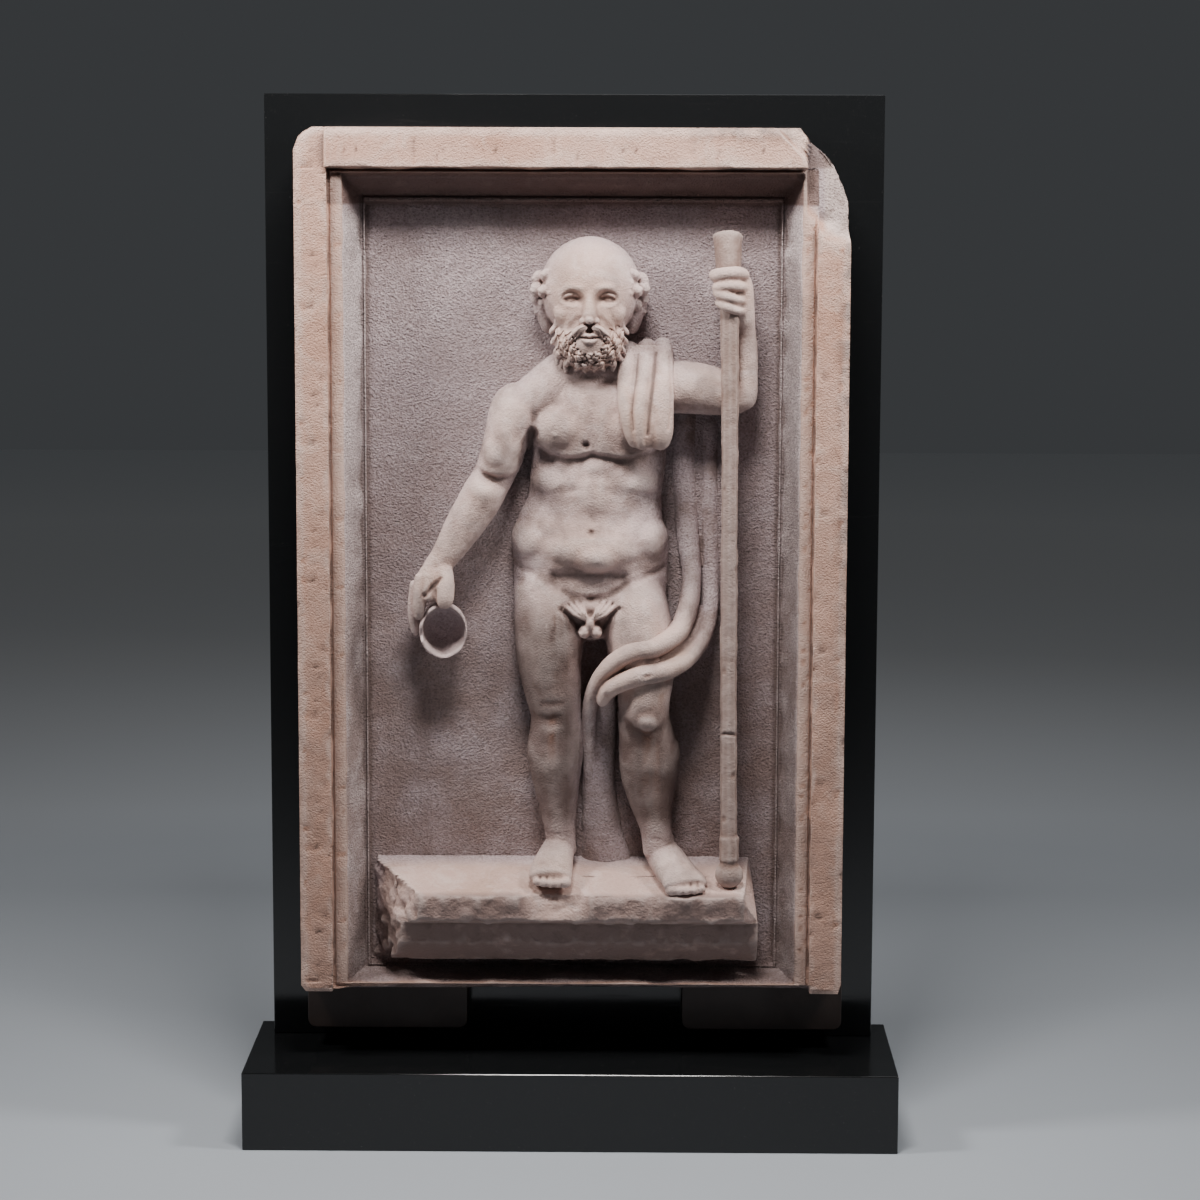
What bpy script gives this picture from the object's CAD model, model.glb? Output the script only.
# %% [markdown]
# # A carved marble relief on its stand
#
# The object is one upright block of marble. Its face is cut back to leave a moulded frame, a sunk ground,
# a ledge, and a standing bearded man who holds a bowl and a staff. Two brown blocks carry the marble in
# front of a black board, and the board stands on a black plinth.
#
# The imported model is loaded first, and every piece below is made in its frame. Stone carving has no seams,
# so the marble is modelled as a sculptor works: rough forms, then smoothing, then finer forms and cuts.

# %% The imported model
import math

import bmesh
import bpy
import numpy as np
from mathutils import Matrix, Vector


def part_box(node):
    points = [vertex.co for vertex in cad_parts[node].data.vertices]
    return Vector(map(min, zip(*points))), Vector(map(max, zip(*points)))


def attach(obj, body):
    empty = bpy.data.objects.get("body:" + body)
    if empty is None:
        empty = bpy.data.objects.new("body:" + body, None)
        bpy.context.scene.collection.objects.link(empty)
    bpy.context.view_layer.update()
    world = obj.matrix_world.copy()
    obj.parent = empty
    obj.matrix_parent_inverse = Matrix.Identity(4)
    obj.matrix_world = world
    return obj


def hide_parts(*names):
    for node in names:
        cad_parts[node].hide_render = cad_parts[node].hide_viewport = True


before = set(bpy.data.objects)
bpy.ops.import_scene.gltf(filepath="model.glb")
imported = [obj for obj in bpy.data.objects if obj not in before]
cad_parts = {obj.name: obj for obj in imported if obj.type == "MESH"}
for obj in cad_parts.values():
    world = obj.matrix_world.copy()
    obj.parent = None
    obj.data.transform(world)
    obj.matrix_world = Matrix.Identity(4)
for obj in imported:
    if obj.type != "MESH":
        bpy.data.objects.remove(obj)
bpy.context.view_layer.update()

print("nodes", sorted(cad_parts))

# %% [markdown]
# ## Camera
#
# The photograph looks slightly down from the height of the head, from about two and a half metres. A long
# lens keeps the frame's sides almost parallel. The aim is written as a pitch, a yaw and a roll, and the
# three axes of the camera follow from them.

# %% Camera
LENS_MM = 96
CAMERA_PLACE = (0.0453, -2.5964, 0.8096)
pitch, yaw, roll = (math.radians(angle) for angle in (8.031, -0.501, -0.189))
forward = Vector((math.sin(yaw) * math.cos(pitch), math.cos(yaw) * math.cos(pitch), -math.sin(pitch)))
level = Vector((math.cos(yaw), -math.sin(yaw), 0))
upright = level.cross(forward)
across = math.cos(roll) * level - math.sin(roll) * upright
upward = math.sin(roll) * level + math.cos(roll) * upright

lens = bpy.data.cameras.new("long_lens")
lens.lens = LENS_MM
lens.sensor_width = 36
camera = bpy.data.objects.new("camera", lens)
axes = Matrix((across, upward, -forward)).transposed()
camera.matrix_world = Matrix.Translation(CAMERA_PLACE) @ axes.to_4x4()
bpy.context.scene.collection.objects.link(camera)
bpy.context.scene.camera = camera
print("camera looks down", round(math.degrees(pitch), 1), "degrees")

# %% [markdown]
# ## Working units
#
# The carving is worked in millimetres on the relief itself: x to the right of the figure's middle, h up
# from its toes, and out from the sunk ground. One matrix turns that into the model's metres at the end.

# %% Working units
MM = 0.001
GROUND_Y = 4.7
FIGURE_X = 15
TOES_Z = 210
PANEL_FOOT_Z = 123
BEHIND_GROUND = -4.0
MOST_TRIANGLES = 190000
relief_to_model = (
    Matrix.Scale(MM, 4)
    @ Matrix.Translation((FIGURE_X, GROUND_Y, TOES_Z))
    @ Matrix.Rotation(math.pi / 2, 4, "X")
)


def show(name, mesh, smooth=True):
    """Turns a finished mesh into a piece that rides on the part's one body."""
    mesh.name = name
    piece = bpy.data.objects.new(name, mesh)
    bpy.context.scene.collection.objects.link(piece)
    for face in mesh.polygons:
        face.use_smooth = smooth
    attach(piece, "root")
    print(name, len(mesh.polygons), "faces")
    return piece


# %% [markdown]
# ## Forms
#
# A limb is a sphere whose rings are drawn out along a path, with its own width and thickness at each
# station. A mound is a stretched sphere. Both are closed, so any number of them can overlap and a voxel
# remesh then joins them into one skin, and a smooth pass blends them as rubbed stone does.

# %% Limbs and mounds


def between(stations, t):
    """A point at t from 0 to 1 on a smooth path through the stations."""
    rows = np.array(stations, dtype=float)
    last = len(rows) - 1
    place = min(max(t * last, 0.0), last - 1e-9)
    i = int(place)
    f = place - i
    a, b, c, d = (rows[min(max(i + k, 0), last)] for k in (-1, 0, 1, 2))
    return 0.5 * (2 * b + (c - a) * f + (2 * a - 5 * b + 4 * c - d) * f**2 + (3 * b - a - 3 * c + d) * f**3)


def limb(bm, stations, sides=20, rows=40, facing=(0, 0, 1), ends=(0.1, 0.1)):
    """Stations are x, h, out, half-width across, half-thickness towards facing."""
    made = bmesh.ops.create_uvsphere(bm, u_segments=sides, v_segments=rows, radius=1)["verts"]
    facing = np.array(facing, dtype=float)
    for vert in made:
        share = math.acos(max(-1, min(1, -vert.co.z))) / math.pi
        t = (1 - math.cos(math.pi * share)) / 2 if ends != (0, 0) else share
        here = between(stations, t)
        heading = between(stations, min(t + 0.01, 1))[:3] - between(stations, max(t - 0.01, 0))[:3]
        heading /= np.linalg.norm(heading)
        out = facing - heading * facing.dot(heading)
        out /= np.linalg.norm(out)
        side = np.cross(out, heading)
        swell = 1.0
        for share_left, end in ((t, ends[0]), (1 - t, ends[1])):
            if share_left < end:
                swell *= math.sqrt(max(0, 1 - (1 - share_left / end) ** 2))
        ring = math.hypot(vert.co.x, vert.co.y) or 1
        if min(share, 1 - share) < 1e-6:
            swell = 0
        vert.co = Vector(
            here[:3] + side * (vert.co.x / ring) * here[3] * swell + out * (vert.co.y / ring) * here[4] * swell
        )


def mound(bm, centre, sizes, lean=0, sides=20, rows=14):
    """A stretched sphere, leaning in the plane of the relief by so many degrees."""
    place = (
        Matrix.Translation(centre)
        @ Matrix.Rotation(math.radians(lean), 4, "Z")
        @ Matrix.Diagonal((*sizes, 1))
    )
    bmesh.ops.create_uvsphere(bm, u_segments=sides, v_segments=rows, radius=1, matrix=place)


def meshed(bm, name):
    """The mesh of a bmesh, which is freed."""
    mesh = bpy.data.meshes.new(name)
    bm.to_mesh(mesh)
    bm.free()
    return mesh


def skin(bm, voxel, soften):
    """Joins overlapping closed forms into one skin and rubs it smooth."""
    rough = meshed(bm, "rough")
    worked = bpy.data.objects.new("rough", rough)
    bpy.context.scene.collection.objects.link(worked)
    remesh = worked.modifiers.new("voxels", "REMESH")
    remesh.mode = "VOXEL"
    remesh.voxel_size = voxel
    rub = worked.modifiers.new("rub", "SMOOTH")
    rub.factor = 0.5
    rub.iterations = soften
    graph = bpy.context.evaluated_depsgraph_get()
    mesh = bpy.data.meshes.new_from_object(worked.evaluated_get(graph))
    bpy.data.objects.remove(worked)
    bpy.data.meshes.remove(rough)
    return mesh


def reopened(mesh):
    """A bmesh of a finished skin, ready for finer forms."""
    bm = bmesh.new()
    bm.from_mesh(mesh)
    bpy.data.meshes.remove(mesh)
    return bm


def cut_skin(bm, voxel, soften, name):
    """A skin without what lies behind the ground, closed where it was cut."""
    bm = reopened(skin(bm, voxel, soften))
    cut = bmesh.ops.bisect_plane(
        bm, geom=bm.verts[:] + bm.edges[:] + bm.faces[:], plane_co=(0, 0, BEHIND_GROUND), plane_no=(0, 0, -1),
        clear_outer=True,
    )
    edges = [edge for edge in cut["geom_cut"] if isinstance(edge, bmesh.types.BMEdge)]
    bmesh.ops.holes_fill(bm, edges=edges, sides=0)
    bmesh.ops.triangulate(bm, faces=[face for face in bm.faces if len(face.verts) > 4])
    return meshed(bm, name)


# %% [markdown]
# ## Cuts
#
# Once a skin is fine enough, the last forms are cut into it by moving its points, as a sculpting brush
# does. A groove follows a line drawn on the face of the relief, a dent is a soft oval, and a negative
# depth raises the stone instead. Only points that look outwards move.

# %% Cuts


def points_of(mesh):
    co = np.empty(len(mesh.vertices) * 3)
    mesh.vertices.foreach_get("co", co)
    normals = np.empty(len(mesh.vertices) * 3)
    mesh.vertex_normals.foreach_get("vector", normals)
    return co.reshape(-1, 3), normals.reshape(-1, 3)


def set_points(mesh, co):
    mesh.vertices.foreach_set("co", co.ravel())
    mesh.update()


def groove(co, normals, path, radius, depth):
    """Sinks a soft line along path, given as [x, h] points."""
    nearest = np.full(len(co), 1e9)
    for (x0, h0), (x1, h1) in zip(path, path[1:]):
        run = np.array([x1 - x0, h1 - h0])
        along = np.clip(((co[:, 0] - x0) * run[0] + (co[:, 1] - h0) * run[1]) / (run @ run), 0, 1)
        gap = np.hypot(co[:, 0] - x0 - along * run[0], co[:, 1] - h0 - along * run[1])
        nearest = np.minimum(nearest, gap)
    weight = np.clip(1 - (nearest / radius) ** 2, 0, 1) ** 2 * np.clip(normals[:, 2] * 2, 0, 1)
    co[:, 2] -= depth * weight


def dent(co, normals, centre, sizes, depth, lean=0):
    """Sinks a soft oval at centre [x, h]."""
    turn = math.radians(lean)
    dx, dh = co[:, 0] - centre[0], co[:, 1] - centre[1]
    u = (dx * math.cos(turn) + dh * math.sin(turn)) / sizes[0]
    v = (-dx * math.sin(turn) + dh * math.cos(turn)) / sizes[1]
    weight = np.clip(1 - u**2 - v**2, 0, 1) ** 2 * np.clip(normals[:, 2] * 2, 0, 1)
    co[:, 2] -= depth * weight


def step(co, normals, path, above, below, depth):
    """Sinks the stone under a line of [x, h] points, sharply at the line and fading away below it."""
    xs = [x for x, _ in path]
    drop = np.interp(co[:, 0], xs, [h for _, h in path]) - co[:, 1]
    rise = np.clip(drop / above + 0.5, 0, 1)
    fade = np.clip(1 - drop / below, 0, 1)
    ends = np.clip((co[:, 0] - xs[0]) / 7, 0, 1) * np.clip((xs[-1] - co[:, 0]) / 7, 0, 1)
    weight = rise * rise * (3 - 2 * rise) * fade * fade * (3 - 2 * fade) * ends
    co[:, 2] -= depth * weight * np.clip(normals[:, 2] * 2, 0, 1)


# %% Cuts that follow the surface
def score(co, normals, path, radius, depth):
    """Cuts a line of [x, h, out] points straight into whatever surface it runs along."""
    nearest = np.full(len(co), 1e9)
    for start, stop in zip(path, path[1:]):
        start, stop = np.array(start, dtype=float), np.array(stop, dtype=float)
        run = stop - start
        along = np.clip((co - start) @ run / (run @ run), 0, 1)
        nearest = np.minimum(nearest, np.linalg.norm(co - start - along[:, None] * run, axis=1))
    weight = np.clip(1 - (nearest / radius) ** 2, 0, 1) ** 2
    co -= normals * (depth * weight)[:, None]


# %% [markdown]
# A finished skin can hold more triangles than its shape needs, so the flattest ones are joined. Dirt
# gathers in the hollows of old stone, and its ridges are rubbed pale. Each skin keeps, on its points, how
# far it lies under or over a rubbed copy of itself, and the marble's colour reads that.

# %% Fewer faces, hollows and placing
def thinned(mesh, most=MOST_TRIANGLES):
    triangles = sum(len(face.vertices) - 2 for face in mesh.polygons)
    if triangles <= most:
        return mesh
    worked = bpy.data.objects.new("thinned", mesh)
    bpy.context.scene.collection.objects.link(worked)
    worked.modifiers.new("fewer", "DECIMATE").ratio = most / triangles
    fewer = bpy.data.meshes.new_from_object(worked.evaluated_get(bpy.context.evaluated_depsgraph_get()))
    bpy.data.objects.remove(worked)
    bpy.data.meshes.remove(mesh)
    print("thinned from", triangles, "triangles to", sum(len(face.vertices) - 2 for face in fewer.polygons))
    return fewer


def hollows(mesh, passes=30, depth=1.6, at_ground=0.0, clean_below=-1000):
    """Stores 0.5 on even stone, up to 1 in hollows and down to 0 on ridges. Rain keeps a low sill clean."""
    co, normals = points_of(mesh)
    ends = np.empty(len(mesh.edges) * 2, dtype=np.int32)
    mesh.edges.foreach_get("vertices", ends)
    a, b = ends[::2], ends[1::2]
    many = len(co)
    beside = np.maximum(np.bincount(a, minlength=many) + np.bincount(b, minlength=many), 1)
    rubbed = co.copy()
    for _ in range(passes):
        for axis in range(3):
            held = rubbed[:, axis]
            total = np.bincount(a, held[b], many) + np.bincount(b, held[a], many)
            rubbed[:, axis] = total / beside
    sunk = ((rubbed - co) * normals).sum(axis=1) / depth
    value = 0.5 + 0.5 * sunk + at_ground * np.clip(1 - co[:, 2] / 7, 0, 1)
    value = np.where(co[:, 1] < clean_below, np.minimum(value, 0.5), value)
    mesh.attributes.new("hollow", "FLOAT", "POINT").data.foreach_set("value", np.clip(value, 0, 1).astype(np.float32))


def carved(name, mesh, co, *worn, **more):
    """Gives a mesh its worked points, its hollows and its place, and shows it as a piece."""
    set_points(mesh, co)
    hollows(mesh, *worn, **more)
    mesh.transform(relief_to_model)
    return show(name, mesh)


# %% [markdown]
# Worn stone is never even. This gives a smooth random value from -1 to 1 at each point, from a fixed table
# of numbers, so that the same unevenness comes back on every run.

# %% Unevenness
lattice = np.random.default_rng(7).random((24, 24, 24)) * 2 - 1


def uneven(co, size, shift=0.0):
    place = co / size + shift
    base = np.floor(place).astype(int)
    part = place - base
    part = part * part * (3 - 2 * part)
    total = np.zeros(len(co))
    for i in (0, 1):
        for j in (0, 1):
            for k in (0, 1):
                corner = (base + (i, j, k)) % 24
                weight = (
                    np.where(i, part[:, 0], 1 - part[:, 0])
                    * np.where(j, part[:, 1], 1 - part[:, 1])
                    * np.where(k, part[:, 2], 1 - part[:, 2])
                )
                total += weight * lattice[corner[:, 0], corner[:, 1], corner[:, 2]]
    return total


print("unevenness of a test point", round(float(uneven(np.array([[1.0, 2.0, 3.0]]), 5)[0]), 3))

# %% [markdown]
# ## The block with its frame
#
# The frame and the sunk ground are one sheet of squares. Its lines are set close together where the
# moulding steps, and equally often on the sides and on the top, so that the corners mitre along the
# squares' diagonals. Then the rim is drawn back to give the block its sides.

# %% The moulding's profile
# Out of the ground, and shares of the way in from the frame's edge at the sides, top and sill.
MOULDING = [
    (45, 0.00, 0.00, 0.20),
    (44.4, 0.012, 0.012, 0.23),
    (41.5, 0.035, 0.03, 0.28),
    (38.4, 0.06, 0.05, 0.33),
    (38.8, 0.08, 0.07, 0.36),
    (40.2, 0.11, 0.085, 0.40),
    (40.2, 0.26, 0.11, 0.45),
    (39.2, 0.41, 0.14, 0.50),
    (36.0, 0.445, 0.18, 0.54),
    (33.4, 0.48, 0.26, 0.58),
    (28.0, 0.55, 0.36, 0.64),
    (22.0, 0.62, 0.46, 0.69),
    (16.0, 0.69, 0.54, 0.75),
    (10.0, 0.77, 0.62, 0.81),
    (5.2, 0.85, 0.71, 0.87),
    (3.8, 0.88, 0.76, 0.90),
    (5.4, 0.905, 0.80, 0.925),
    (5.0, 0.945, 0.90, 0.955),
    (0.8, 0.97, 0.95, 0.98),
    (0.0, 1.00, 1.00, 1.00),
]
HALF_PANEL = 221.5
PANEL_HEIGHT = 703
STILE = 26
SIDE_MOULDING = 29
CORNICE = 32
TOP_MOULDING = 30
SILL = 14
CORNICE_OUT = 49
CORNICE_END = 186.5
BLOCK_BACK = -35
FRAME_OUT = 45
BROKEN_FROM = 585
SILL_TOP = -66


def finer(values, steps):
    """The moulding's rings with more lines between them."""
    rings = []
    for a, b in zip(values, values[1:]):
        rings += [tuple(p + (q - p) * k / steps for p, q in zip(a, b)) for k in range(steps)]
    return rings + [values[-1]]


rings = finer(MOULDING, 2)
print("moulding rings", len(rings))

# %% The sheet's lines
edge_in = HALF_PANEL - STILE
inner = edge_in - SIDE_MOULDING
roof = PANEL_HEIGHT - CORNICE
stile_lines = [-HALF_PANEL + s for s in (0, 0.7, 2, 4, 7, 10.5, 14, 17.5, 21, 23.8, 25.4)]
left_lines = stile_lines + [-edge_in + SIDE_MOULDING * ring[1] for ring in rings]
middle_lines = list(np.linspace(-inner, inner, 130)[1:-1])
x_lines = left_lines + middle_lines + [-x for x in reversed(left_lines)]
foot_lines = [0, 0.7, 1.6]
sill_lines = foot_lines + [SILL * ring[3] for ring in rings]
top_inner = roof - TOP_MOULDING
top_lines = [roof - TOP_MOULDING * ring[2] for ring in reversed(rings)]
cornice_lines = [roof + s for s in (0.6, 2, 4.5, 7.5, 10.5, 14, 17.5, 21, 24.5, 28, 30, 31.3, 32)]
z_lines = sill_lines + list(np.linspace(SILL, top_inner, 226)[1:-1]) + top_lines + cornice_lines
x_ring = np.clip(np.minimum(np.arange(len(x_lines)), np.arange(len(x_lines))[::-1]) - len(stile_lines), -1,
    len(rings) - 1)
low_ring = np.arange(len(z_lines)) - len(foot_lines)
high_ring = np.arange(len(z_lines))[::-1] - len(cornice_lines)
z_ring = np.clip(np.minimum(low_ring, high_ring), -1, len(rings) - 1)
print("sheet", len(x_lines), "by", len(z_lines))

# %% The sheet
block = bmesh.new()
bmesh.ops.create_grid(block, x_segments=len(x_lines) - 1, y_segments=len(z_lines) - 1, size=1)
for vert in block.verts:
    column = round((vert.co.x + 1) / 2 * (len(x_lines) - 1))
    row = round((vert.co.y + 1) / 2 * (len(z_lines) - 1))
    ring = min(x_ring[column], z_ring[row])
    x, h = x_lines[column], z_lines[row]
    out = rings[max(ring, 0)][0]
    if ring < 0 and h > roof and -edge_in - 1 < x < CORNICE_END:
        out = CORNICE_OUT
    vert.co = (x, h, out)

rim = [edge for edge in block.edges if edge.is_boundary]
for depth in np.linspace(0.12, 1, 9):
    drawn = bmesh.ops.extrude_edge_only(block, edges=rim)["geom"]
    rim = [edge for edge in drawn if isinstance(edge, bmesh.types.BMEdge) and edge.is_boundary]
    for vert in {vert for edge in rim for vert in edge.verts}:
        vert.co.z = FRAME_OUT + (BLOCK_BACK - FRAME_OUT) * depth
bmesh.ops.edgeloop_fill(block, edges=rim)
bmesh.ops.recalc_face_normals(block, faces=block.faces)
print("block faces", len(block.faces))

# %% [markdown]
# The block is old and damaged. Its upper right corner has broken away in a slanting face, the upper left
# corner and the lower edge are chipped, and every arris is worn. Each loss is a limit on how far the stone
# may reach, made uneven, and the points beyond it are moved back to it.

# %% Losses of the block
block_mesh = meshed(block, "relief_block")
co, normals = points_of(block_mesh)
x, h, out = co[:, 0].copy(), co[:, 1].copy(), co[:, 2].copy()

right_edge = np.interp(h, [0, 8, 611, 645, 666, 680, 693, 703], [219, 221.5, 221.5, 218.5, 212.5, 203.5, 188.5, 181])
right_edge += np.where(h > 600, uneven(co, 9, 3.1) * 1.6, 0)
hinge = np.interp(h, [0, 671, 703], [edge_in, edge_in, 131])
stretch = (right_edge - hinge) / (HALF_PANEL - hinge)
co[:, 0] = np.where(x > hinge, hinge + (x - hinge) * stretch, co[:, 0])
left_edge = np.interp(h, [0, 5, 685, 697, 703], [-217.5, -HALF_PANEL, -HALF_PANEL, -217, -207])
stretch = (left_edge + edge_in) / (-HALF_PANEL + edge_in)
co[:, 0] = np.where(x < -edge_in, -edge_in + (x + edge_in) * stretch, co[:, 0])

x, h = co[:, 0], co[:, 1]
fracture = np.interp(h, [BROKEN_FROM, 610, 633, 668, 703], [64, 53, 40, 26, 17]) - (x - CORNICE_END) * 0.3
fracture += uneven(co, 14, 1.7) * 2.2 + uneven(co, 5, 9.2) * 0.7
gone = x > CORNICE_END + uneven(co, 10, 5.0) * 1.5
co[:, 2] = np.where(gone & (h > BROKEN_FROM), np.minimum(co[:, 2], fracture), co[:, 2])

sill_break = np.interp(x, [-190, -180, -60, 0, 172, 188, 200, 222], [46, 40, 36, 33, 33, 34, 44, 42])
sill_break += uneven(co, 11, 2.2) * 1.8
low = h < 6
co[:, 2] = np.where(low & (np.abs(x) < 196) & (co[:, 2] > 0), np.minimum(co[:, 2], sill_break - (6 - h) * 1.5),
    co[:, 2])

# %% Wear of the block
face = np.clip(normals[:, 2], 0, 1)
edge_gap = np.minimum.reduce([np.abs(x - right_edge), np.abs(x - left_edge), PANEL_HEIGHT - h, h])
on_frame = co[:, 2] > 30
worn = np.clip(1 - edge_gap / 4, 0, 1) * np.clip(0.45 + uneven(co, 16, 4.4) * 0.9, 0, 1)
co[:, 2] -= np.where(on_frame, worn * 2.6, 0) * face
arris = np.clip(1 - np.abs(np.abs(x) - edge_in) / 2.2, 0, 1) * np.clip(uneven(co, 9, 6.6) * 1.4 - 0.1, 0, 1)
co[:, 2] -= np.where(on_frame & (h < roof), arris * 2.4, 0)
lip = np.clip(1 - np.abs(h - roof) / 2.4, 0, 1) * np.clip(uneven(co, 12, 8.8) * 1.3 - 0.25, 0, 1)
co[:, 2] -= np.where(on_frame, lip * 3.0, 0)
chips = np.clip(uneven(co, 4.6, 12.2) - 0.56, 0, 1) * 4 + uneven(co, 11, 2.7) * 0.30 + uneven(co, 4.2, 0.9) * 0.22
co[:, 2] -= np.where(on_frame, chips, 0) * face
co[:, 2] += np.where(co[:, 2] < 0.5, uneven(co, 26, 0.4) * 0.6 + uneven(co, 5.2, 3.3) * 0.42, 0) * face
sides = (np.abs(normals[:, 2]) < 0.5) & (co[:, 2] > BLOCK_BACK + 3)
rough = uneven(co, 18, 7.7) * 1.2 + uneven(co, 6, 2.9) * 0.5 - 0.8
co[:, 0] += np.where(sides, normals[:, 0] * rough, 0)
co[:, 1] += np.where(sides, normals[:, 1] * rough, 0)
co[:, 0] = np.clip(co[:, 0], -HALF_PANEL, HALF_PANEL)
co[:, 1] = np.clip(co[:, 1], 0, PANEL_HEIGHT)
co[:, 0] -= FIGURE_X
co[:, 1] += PANEL_FOOT_Z - TOES_Z
relief_block = carved("relief_block", block_mesh, co, 10, 1.5, clean_below=SILL_TOP)

# %% [markdown]
# ## The ledge
#
# The figure stands on a ledge with a sloping top. Its front is a rough broken lip, its left end has broken
# away in steps, and two plain bands step back underneath. A closed bar of its profile is remeshed so that
# there are enough points to break.

# %% The ledge
LEDGE_PROFILE = [
    (-6, 18), (0, 18), (56, -2), (60, -4), (60.5, -8), (59, -23), (55, -26), (46, -28),
    (43, -46), (28, -48), (25, -65), (0, -68), (-6, -68),
]
ledge = bmesh.new()
outline = [ledge.verts.new((-181, h, out)) for out, h in LEDGE_PROFILE]
end = bmesh.ops.contextual_create(ledge, geom=outline)["faces"]
bar = bmesh.ops.extrude_face_region(ledge, geom=end)["geom"]
bmesh.ops.translate(ledge, vec=(313, 0, 0), verts=[v for v in bar if isinstance(v, bmesh.types.BMVert)])
for vert in ledge.verts:
    reach = max(0.0, vert.co.z) / 60
    if vert.co.x < 0:
        vert.co.x += 42 * reach if vert.co.y > -27 else 30 * reach + 4
    else:
        vert.co.x += -6 * reach if vert.co.y > -27 else 6
bmesh.ops.recalc_face_normals(ledge, faces=ledge.faces)
ledge_mesh = skin(ledge, 1.35, 6)

co, normals = points_of(ledge_mesh)
front = np.clip(normals[:, 2] * 1.5, 0, 1)
lip = (co[:, 1] > -27) & (co[:, 2] > 30)
scoop = np.clip(1 - ((co[:, 0] + 29) / 30) ** 2, 0, 1) * np.clip((co[:, 1] + 24) / 18, 0, 1)
co[:, 2] -= np.where(lip, scoop * 13, 0) * np.clip((co[:, 2] - 30) / 20, 0, 1)
broken = uneven(co, 24, 0.9) * 3.0 + uneven(co, 9, 5.1) * 1.2 + uneven(co, 3.4, 8.3) * 0.45
co[:, 2] += np.where(lip, broken - 1.8, uneven(co, 13, 2.0) * 1.3 + uneven(co, 5, 6.4) * 0.7 - 0.6) * front
under = np.clip(-normals[:, 1], 0, 1)
co[:, 1] += np.where(lip, uneven(co, 9, 1.2) * 2.2, uneven(co, 11, 6.0) * 1.2) * under
ends = np.clip(-normals[:, 0], 0, 1)
co[:, 0] += (uneven(co, 8, 4.1) * 3.2 + uneven(co, 3.5, 7.0) * 1.0) * ends
co[:, 1] -= np.where(lip, np.clip(uneven(co, 11, 3.9) * 2.4 - 0.5, 0, 1.6), 0) * np.clip((co[:, 2] - 48) / 10, 0, 1)
co += normals * (uneven(co, 6, 0.3) * 0.3)[:, None] * np.clip(normals[:, 1:2], 0, 1)
relief_ledge = carved("relief_ledge", ledge_mesh, co, 24, 1.8)

# %% [markdown]
# ## The body
#
# The man stands with his weight on one leg. The trunk and limbs are drawn as limbs with the widths
# of the carving, and the muscles are mounds set shallowly into them. They are joined in a coarse skin,
# rubbed until they run into each other, and cut where a form overhangs the next one.

# %% Trunk
body = bmesh.new()
TRUNK = [
    (-1, 446, 14, 21, 18), (-1, 428, 12, 25, 20), (0, 416, 10, 40, 24), (0, 404, 10, 56, 28),
    (2, 388, 10, 60, 31), (5, 368, 9, 57, 32), (6, 350, 9, 55, 30), (4, 330, 9, 54, 29),
    (3, 312, 9, 55, 29), (1, 295, 9, 61, 33), (0, 277, 9, 64, 35), (0, 262, 9, 63, 32),
    (0, 235, 8, 62, 28), (0, 215, 6, 57, 25), (2, 204, 4, 44, 20),
]
SHOULDERS = [
    (-62, 390, 16, 17, 22), (-44, 400, 15, 20, 22), (-22, 415, 13, 22, 21), (0, 424, 12, 24, 21),
    (22, 418, 12, 22, 21), (44, 407, 14, 20, 22), (62, 402, 16, 18, 20),
]
limb(body, TRUNK, sides=32, rows=44, ends=(0, 0))
limb(body, SHOULDERS, ends=(0.15, 0.15))
MUSCLES = [
    ((-22, 378, 16), (32, 27, 27), 8),
    ((28, 378, 16), (32, 27, 27), -8),
    ((-62, 392, 17), (19, 21, 22), -30),
    ((3, 325, 15), (30, 36, 26), 0),
    ((-26, 334, 10), (24, 21, 25), 14),
    ((34, 334, 10), (24, 21, 25), -14),
    ((1, 279, 16), (52, 24, 33), 0),
    ((4, 274, 18), (28, 19, 34), 0),
    ((-44, 284, 11), (21, 23, 26), 14),
    ((44, 283, 11), (19, 23, 26), -14),
    ((0, 231, 13), (22, 12, 25), 0),
    ((-36, 240, 11), (24, 34, 29), 6),
    ((34, 238, 12), (21, 34, 29), -8),
]
for centre, sizes, lean in MUSCLES:
    mound(body, centre, sizes, lean)

# %% Legs
STANDING_LEG = [
    (-33, 250, 10, 30, 29), (-33.5, 225, 12, 29.5, 31), (-33.5, 200, 13, 28.5, 31), (-33, 178, 14, 26, 28),
    (-30, 156, 15, 23, 24), (-28, 141, 14, 21, 22), (-28, 122, 13, 22.5, 22), (-28.5, 103, 12, 22.5, 23),
    (-28, 86, 12, 20, 20), (-26.5, 70, 12, 17, 17), (-25.5, 55, 13, 14.5, 15), (-24, 40, 15, 12.5, 14),
    (-23.5, 20, 17, 13, 14),
]
BENT_LEG = [
    (33, 256, 8, 23, 27), (37, 228, 13, 27, 33), (41, 200, 18, 28.5, 34), (44, 178, 22, 25, 31),
    (44, 156, 27, 21.5, 27), (44, 140, 25, 21, 24), (46.5, 122, 19, 23.5, 24), (48.5, 103, 16, 25, 25),
    (49, 88, 15, 23.5, 22), (50, 72, 15, 19.5, 20), (52.5, 57, 16, 15.5, 17), (55, 43, 18, 13, 15),
    (58, 20, 20, 13.5, 14),
]
for leg in (STANDING_LEG, BENT_LEG):
    limb(body, leg, sides=24, rows=50, ends=(0, 0))
for centre, sizes, lean in [
    ((-31, 162, 24), (13, 11, 16), 0),
    ((-33, 147, 23), (9, 8, 14), 0),
    ((-40, 110, 13), (12, 24, 17), 4),
    ((44, 155, 34), (17, 17, 20), 0),
    ((46, 141, 39), (11, 11, 16), 0),
    ((61, 106, 16), (13, 24, 19), -4),
]:
    mound(body, centre, sizes, lean)

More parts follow.
